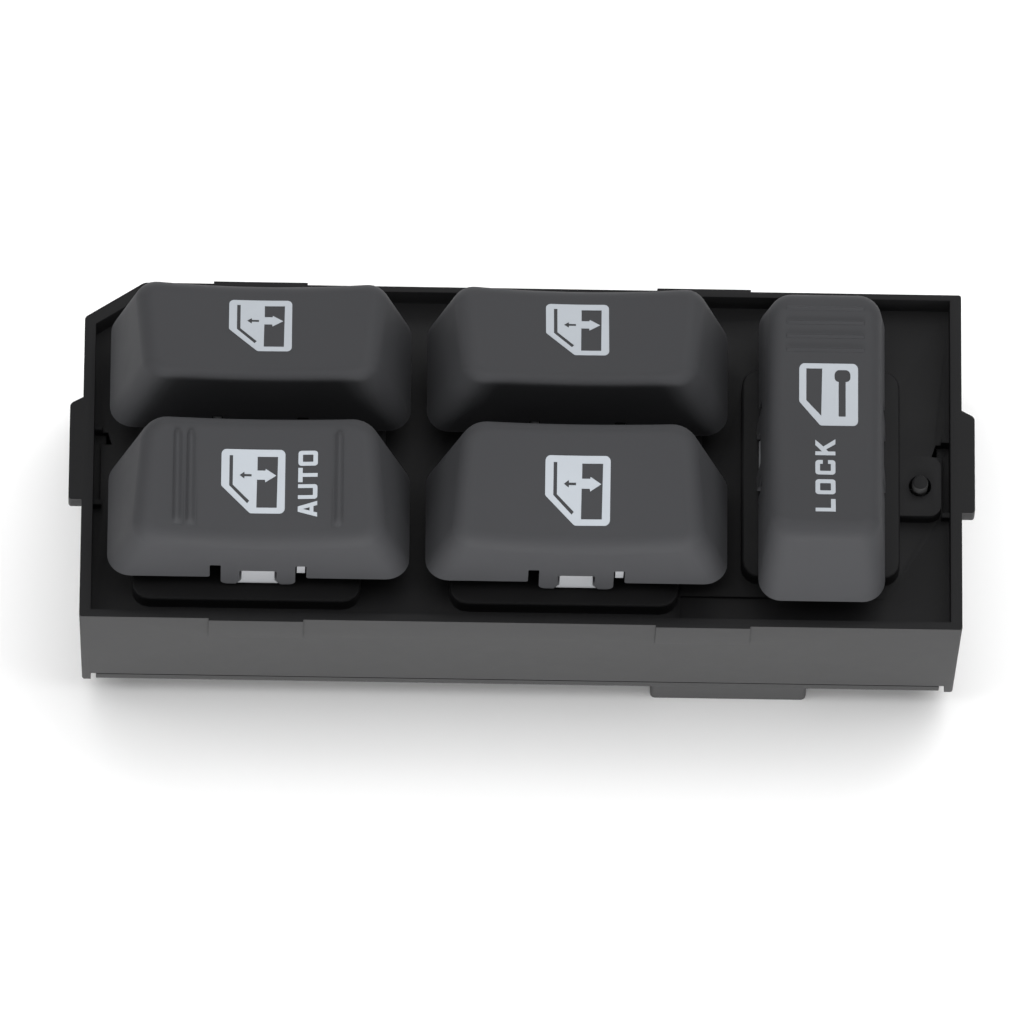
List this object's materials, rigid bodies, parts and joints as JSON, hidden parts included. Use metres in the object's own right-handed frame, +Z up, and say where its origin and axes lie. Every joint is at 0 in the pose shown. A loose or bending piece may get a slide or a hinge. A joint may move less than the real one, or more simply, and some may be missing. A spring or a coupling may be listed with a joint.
{
  "type": "power window master switch",
  "caption": "Car door master window switch: a black tray with sprung grey window rockers, a door lock rocker set across them, and a connector socket below.",
  "frame": {"origin": "middle of the footprint, on the level of the connector shroud's lower lip", "axes": "+X along the tray from the driver's rocker towards the lock rocker, +Y from the front wall to the back wall, +Z up through the rocker caps"},
  "size_m": [0.1318, 0.0542, 0.048],
  "materials": {
    "cap_grey": "fine grained satin",
    "tray_black": "satin, as moulded",
    "carrier_white": "as moulded",
    "board_green": "coated board",
    "contact_brass": "stamped sheet",
    "spring_steel": "drawn wire",
    "plunger_white": "smooth"
  },
  "bodies": {
    "tray": {"housing": "tray_black", "base_plate": "tray_black", "circuit_board": "board_green", "connector_pin_1": "contact_brass", "connector_pin_2": "contact_brass", "connector_pin_3": "contact_brass", "connector_pin_4": "contact_brass", "connector_pin_5": "contact_brass", "connector_pin_6": "contact_brass", "connector_pin_7": "contact_brass", "connector_pin_8": "contact_brass", "driver_fulcrum": "contact_brass", "driver_contact_a": "contact_brass", "driver_contact_b": "contact_brass", "passenger_fulcrum": "contact_brass", "passenger_contact_a": "contact_brass", "passenger_contact_b": "contact_brass", "rear_left_fulcrum": "contact_brass", "rear_left_contact_a": "contact_brass", "rear_left_contact_b": "contact_brass", "rear_right_fulcrum": "contact_brass", "rear_right_contact_a": "contact_brass", "rear_right_contact_b": "contact_brass", "lock_fulcrum": "contact_brass", "lock_contact_a": "contact_brass", "lock_contact_b": "contact_brass"},
    "driver_rocker": {"driver_cap": "cap_grey", "driver_carrier": "carrier_white", "driver_spring": "spring_steel"},
    "driver_plunger": {"driver_plunger": "plunger_white"},
    "driver_seesaw": {"driver_seesaw": "contact_brass"},
    "passenger_rocker": {"passenger_cap": "cap_grey", "passenger_carrier": "carrier_white", "passenger_spring": "spring_steel"},
    "passenger_plunger": {"passenger_plunger": "plunger_white"},
    "passenger_seesaw": {"passenger_seesaw": "contact_brass"},
    "rear_left_rocker": {"rear_left_cap": "cap_grey", "rear_left_carrier": "carrier_white", "rear_left_spring": "spring_steel"},
    "rear_left_plunger": {"rear_left_plunger": "plunger_white"},
    "rear_left_seesaw": {"rear_left_seesaw": "contact_brass"},
    "rear_right_rocker": {"rear_right_cap": "cap_grey", "rear_right_carrier": "carrier_white", "rear_right_spring": "spring_steel"},
    "rear_right_plunger": {"rear_right_plunger": "plunger_white"},
    "rear_right_seesaw": {"rear_right_seesaw": "contact_brass"},
    "lock_rocker": {"lock_cap": "cap_grey", "lock_carrier": "carrier_white", "lock_spring": "spring_steel"},
    "lock_plunger": {"lock_plunger": "plunger_white"},
    "lock_seesaw": {"lock_seesaw": "contact_brass"}
  },
  "joints": [
    {"name": "driver_tilt", "type": "hinge", "parent": "tray", "child": "driver_rocker", "pos_m": [-0.0382, -0.0118, 0.0308], "axis": [0, 1, 0], "range_deg": [-6, 9], "stiffness_Nm_per_rad": 0.3},
    {"name": "driver_plunger_slide", "type": "slide", "parent": "driver_rocker", "child": "driver_plunger", "axis": [0, 0, 1], "range_m": [0, 0.0006], "stiffness_N_per_m": 400, "deforming": ["driver_spring"]},
    {"name": "driver_seesaw_tilt", "type": "hinge", "parent": "tray", "child": "driver_seesaw", "pos_m": [-0.0382, -0.0118, 0.01675], "axis": [0, 1, 0], "range_deg": [-3, 3]},
    {"name": "passenger_tilt", "type": "hinge", "parent": "tray", "child": "passenger_rocker", "pos_m": [0.0079, -0.0118, 0.0308], "axis": [0, 1, 0], "range_deg": [-6, 6], "stiffness_Nm_per_rad": 0.3},
    {"name": "passenger_plunger_slide", "type": "slide", "parent": "passenger_rocker", "child": "passenger_plunger", "axis": [0, 0, 1], "range_m": [0, 0.0006], "stiffness_N_per_m": 400, "deforming": ["passenger_spring"]},
    {"name": "passenger_seesaw_tilt", "type": "hinge", "parent": "tray", "child": "passenger_seesaw", "pos_m": [0.0079, -0.0118, 0.01675], "axis": [0, 1, 0], "range_deg": [-3, 3]},
    {"name": "rear_left_tilt", "type": "hinge", "parent": "tray", "child": "rear_left_rocker", "pos_m": [-0.0382, 0.0118, 0.0308], "axis": [0, 1, 0], "range_deg": [-6, 6], "stiffness_Nm_per_rad": 0.3},
    {"name": "rear_left_plunger_slide", "type": "slide", "parent": "rear_left_rocker", "child": "rear_left_plunger", "axis": [0, 0, 1], "range_m": [0, 0.0006], "stiffness_N_per_m": 400, "deforming": ["rear_left_spring"]},
    {"name": "rear_left_seesaw_tilt", "type": "hinge", "parent": "tray", "child": "rear_left_seesaw", "pos_m": [-0.0382, 0.0118, 0.01675], "axis": [0, 1, 0], "range_deg": [-3, 3]},
    {"name": "rear_right_tilt", "type": "hinge", "parent": "tray", "child": "rear_right_rocker", "pos_m": [0.0079, 0.0118, 0.0308], "axis": [0, 1, 0], "range_deg": [-6, 6], "stiffness_Nm_per_rad": 0.3},
    {"name": "rear_right_plunger_slide", "type": "slide", "parent": "rear_right_rocker", "child": "rear_right_plunger", "axis": [0, 0, 1], "range_m": [0, 0.0006], "stiffness_N_per_m": 400, "deforming": ["rear_right_spring"]},
    {"name": "rear_right_seesaw_tilt", "type": "hinge", "parent": "tray", "child": "rear_right_seesaw", "pos_m": [0.0079, 0.0118, 0.01675], "axis": [0, 1, 0], "range_deg": [-3, 3]},
    {"name": "lock_tilt", "type": "hinge", "parent": "tray", "child": "lock_rocker", "pos_m": [0.0435, 0, 0.0308], "axis": [1, 0, 0], "range_deg": [-6, 6], "stiffness_Nm_per_rad": 0.3},
    {"name": "lock_plunger_slide", "type": "slide", "parent": "lock_rocker", "child": "lock_plunger", "axis": [0, 0, 1], "range_m": [0, 0.0006], "stiffness_N_per_m": 400, "deforming": ["lock_spring"]},
    {"name": "lock_seesaw_tilt", "type": "hinge", "parent": "tray", "child": "lock_seesaw", "pos_m": [0.0435, 0, 0.01675], "axis": [1, 0, 0], "range_deg": [-3, 3]}
  ],
  "couplings": [
    {"joint": "driver_seesaw_tilt", "follows": "driver_tilt", "ratio": -0.33333},
    {"joint": "passenger_seesaw_tilt", "follows": "passenger_tilt", "ratio": -0.5},
    {"joint": "rear_left_seesaw_tilt", "follows": "rear_left_tilt", "ratio": -0.5},
    {"joint": "rear_right_seesaw_tilt", "follows": "rear_right_tilt", "ratio": -0.5},
    {"joint": "lock_seesaw_tilt", "follows": "lock_tilt", "ratio": -0.5}
  ]
}
